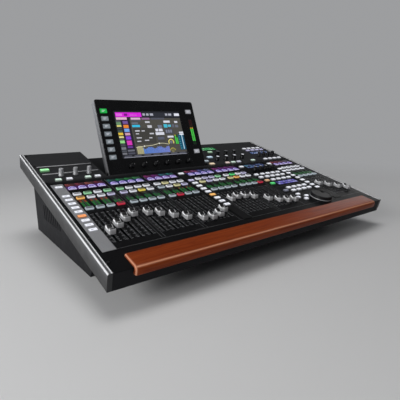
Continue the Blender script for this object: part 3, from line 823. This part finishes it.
# cover plate of the option slot: grip screws and a shallow frame
for cx, cz in ((505, 75.5), (595, 75.5), (505, 136.5), (595, 136.5)):
    B.rings([[(px, pz, 3.5) for px, pz in ring_pts(cx, cz, 3.0, 24)], [(px, pz, 4.6) for px, pz in ring_pts(cx, cz, 2.9, 24)], [(px, pz, 5.0) for px, pz in ring_pts(cx, cz, 2.3, 24)], [(px, pz, 5.0) for px, pz in ring_pts(cx, cz, 0.5, 24)]], "steel")
for z in range(84, 130, 6): B.box(516, z, 3.5, 584, z + 2.2, 3.72, "slot_dark")
B.obj("rear_print", REAR, "root", "deck_paint")
# bars behind the vents' slots and the display cover's slots stay dark; four screws hold the display's cover
B = Build(["screw"])
for u in (184, 485):
    for t in (14, 198):
        cu = FACE - 24
        B.rings([[(px, pz, cu + 0.2) for px, pz in ring_pts(u, t, 2.7)], [(px, pz, cu - 0.05) for px, pz in ring_pts(u, t, 2.6)], [(px, pz, cu - 0.3) for px, pz in ring_pts(u, t, 2.0)],
                 [(px, pz, cu - 0.3) for px, pz in ring_pts(u, t, 1.1)], [(px, pz, cu + 0.5) for px, pz in ring_pts(u, t, 1.0)]], "screw")
B.obj("display_cover_screws", DISP, "display", "screw_black")

# ------------------------------------------------------------------ floor, light and camera
def area(name, loc, target, size, energy, col=(1, 1, 1)):
    d = bpy.data.lights.new(name, "AREA"); d.shape = "RECTANGLE"; d.size, d.size_y = size; d.energy = energy; d.color = col
    o = bpy.data.objects.new(name, d); o.location = loc
    o.rotation_euler = (Vector(target) - Vector(loc)).to_track_quat("-Z", "Y").to_euler(); bpy.context.scene.collection.objects.link(o)
    return o
fm, fnt, fb = nodes_of("floor_pale")
fb.inputs["Base Color"].default_value = (0.72, 0.72, 0.72, 1); fb.inputs["Roughness"].default_value = 0.9; fb.inputs["Specular IOR Level"].default_value = 0.0
# the far floor fades into the pale backdrop, for the camera only
ftc = fnt.nodes.new("ShaderNodeTexCoord"); fln = fnt.nodes.new("ShaderNodeVectorMath"); fln.operation = "LENGTH"; fnt.links.new(ftc.outputs["Object"], fln.inputs[0])
fmr = fnt.nodes.new("ShaderNodeMapRange"); fmr.interpolation_type = "SMOOTHSTEP"; fmr.inputs["From Min"].default_value = 0.75; fmr.inputs["From Max"].default_value = 2.0
fnt.links.new(fln.outputs["Value"], fmr.inputs["Value"])
flp = fnt.nodes.new("ShaderNodeLightPath"); fmu = fnt.nodes.new("ShaderNodeMath"); fmu.operation = "MULTIPLY"
fnt.links.new(fmr.outputs[0], fmu.inputs[0]); fnt.links.new(flp.outputs["Is Camera Ray"], fmu.inputs[1])
fnt.links.new(mixc(fnt, fmu.outputs[0], (0.72, 0.72, 0.72), (0.0, 0.0, 0.0)), fb.inputs["Base Color"])
fst = fnt.nodes.new("ShaderNodeMath"); fst.operation = "MULTIPLY"; fst.inputs[1].default_value = 0.42; fnt.links.new(fmu.outputs[0], fst.inputs[0])
fb.inputs["Emission Color"].default_value = (0.80, 0.81, 0.83, 1); fnt.links.new(fst.outputs[0], fb.inputs["Emission Strength"])
bpy.ops.mesh.primitive_plane_add(size=40, location=(0, 0, 0))
floor = bpy.context.object; floor.name = "floor"; floor.data.materials.append(fm)
w = bpy.data.worlds.new("studio"); bpy.context.scene.world = w; w.use_nodes = True
w.node_tree.nodes["Background"].inputs["Color"].default_value = (0.80, 0.82, 0.86, 1)
w.node_tree.nodes["Background"].inputs["Strength"].default_value = 0.10
wn = w.node_tree; bg2 = wn.nodes.new("ShaderNodeBackground"); bg2.inputs["Color"].default_value = (0.80, 0.81, 0.83, 1); bg2.inputs["Strength"].default_value = 0.42
lp = wn.nodes.new("ShaderNodeLightPath"); mxs = wn.nodes.new("ShaderNodeMixShader")
# a low, wide bank of light behind the desk, so that its rear panel reads
wtc = wn.nodes.new("ShaderNodeTexCoord"); wsx = wn.nodes.new("ShaderNodeSeparateXYZ"); wn.links.new(wtc.outputs["Generated"], wsx.inputs[0])
wy = wn.nodes.new("ShaderNodeMapRange"); wy.interpolation_type = "SMOOTHSTEP"; wy.inputs["From Min"].default_value = 0.25; wy.inputs["From Max"].default_value = 0.75
wz = wn.nodes.new("ShaderNodeMapRange"); wz.interpolation_type = "SMOOTHSTEP"; wz.inputs["From Min"].default_value = 0.27; wz.inputs["From Max"].default_value = 0.15
wn.links.new(wsx.outputs["Y"], wy.inputs["Value"]); wn.links.new(wsx.outputs["Z"], wz.inputs["Value"])
wm = wn.nodes.new("ShaderNodeMath"); wm.operation = "MULTIPLY"; wn.links.new(wy.outputs[0], wm.inputs[0]); wn.links.new(wz.outputs[0], wm.inputs[1])
wa = wn.nodes.new("ShaderNodeMath"); wa.operation = "MULTIPLY_ADD"; wa.inputs[1].default_value = 2.2; wa.inputs[2].default_value = 0.10
wn.links.new(wm.outputs[0], wa.inputs[0]); wn.links.new(wa.outputs[0], wn.nodes["Background"].inputs["Strength"])
wn.links.new(lp.outputs["Is Camera Ray"], mxs.inputs[0]); wn.links.new(wn.nodes["Background"].outputs[0], mxs.inputs[1]); wn.links.new(bg2.outputs[0], mxs.inputs[2])
wn.links.new(mxs.outputs[0], wn.nodes["World Output"].inputs["Surface"])
area("left", (-2.3, -0.5, 1.0), (-0.2, 0.0, 0.1), (1.6, 0.7), 34)
area("top", (-0.1, -0.1, 2.6), (0, 0.05, 0.1), (1.3, 1.3), 22)
area("right", (2.7, 0.6, 1.1), (0.3, 0.0, 0.1), (1.0, 0.5), 4)

CAM_C = Vector((-204.3, -429.1, 361.0))
RX = Vector((0.79327879, -0.58973049, 0.15141569)); RY = Vector((-0.13744011, -0.41571321, -0.89905102)); RZ = Vector((0.5931433, 0.69238752, -0.4108291))
R3 = Matrix.Rotation(TILT, 3, "X")
cx_, cy_, cz_ = R3 @ RX, -(R3 @ RY), -(R3 @ RZ)
cm = Matrix(((cx_.x, cy_.x, cz_.x, 0), (cx_.y, cy_.y, cz_.y, 0), (cx_.z, cy_.z, cz_.z, 0), (0, 0, 0, 1)))
cd = bpy.data.cameras.new("camera"); cd.lens = 32.38; cd.sensor_width = 36; cd.clip_start = 0.01; cd.clip_end = 100
cam = bpy.data.objects.new("camera", cd); cam.matrix_world = Matrix.Translation(DECK @ CAM_C) @ cm
bpy.context.scene.collection.objects.link(cam); bpy.context.scene.camera = cam
bpy.context.scene.view_settings.view_transform = "Standard"
bpy.context.scene.view_settings.look = "None"
